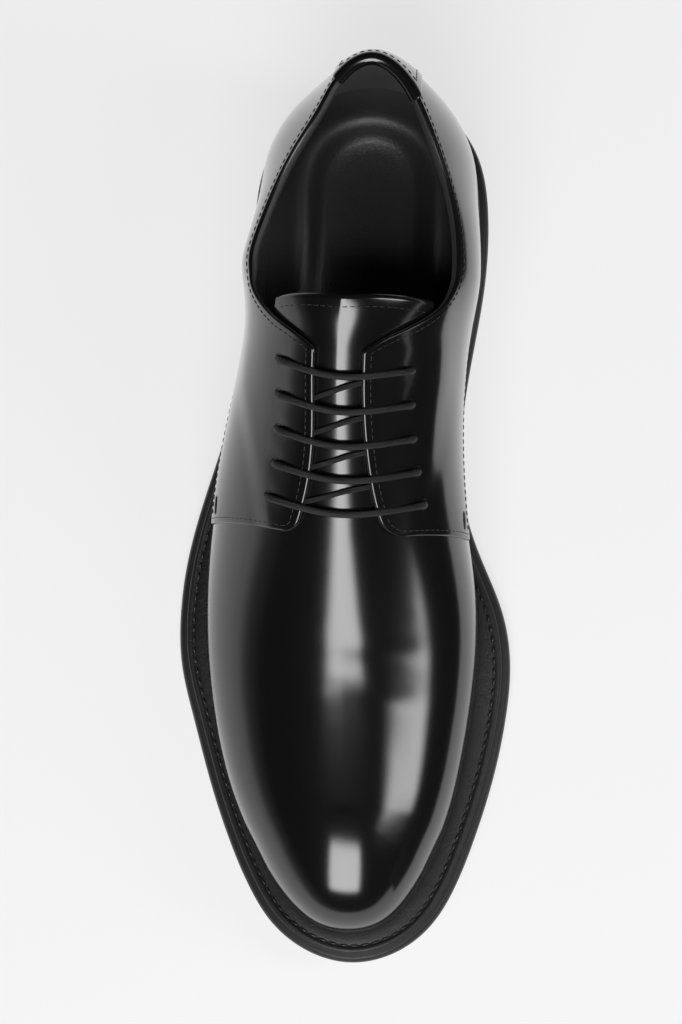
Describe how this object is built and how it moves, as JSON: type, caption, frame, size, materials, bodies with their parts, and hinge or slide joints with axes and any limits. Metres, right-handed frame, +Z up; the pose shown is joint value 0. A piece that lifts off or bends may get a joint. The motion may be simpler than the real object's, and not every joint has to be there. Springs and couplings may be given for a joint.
{
  "type": "derby shoe",
  "caption": "Right-foot plain-toe derby shoe: hollow leather upper open at collar and throat, laced facings, tongue, cupped footbed, welt, rubber sole and heel.",
  "frame": {"origin": "on the floor, at the middle of the shoe's length and width", "axes": "+Z up, the toe points along -Y, +X is the inner (medial) side of the right foot"},
  "size_m": [0.1127, 0.2993, 0.1016],
  "materials": {
    "polished_leather": "mirror-polished black calf",
    "lining_leather": "matt black lining",
    "welt": "matt black, stitched",
    "sole_rubber": "matt black rubber",
    "lace_cord": "round waxed black cord"
  },
  "bodies": {
    "root": {"upper": "polished_leather", "tongue": "polished_leather", "heel_tab": "polished_leather", "insole": "lining_leather", "welt": "welt", "outsole": "sole_rubber", "heel": "sole_rubber", "lace_bar_1": "lace_cord", "lace_bar_2": "lace_cord", "lace_bar_3": "lace_cord", "lace_bar_4": "lace_cord", "lace_bar_5": "lace_cord"}
  },
  "joints": []
}
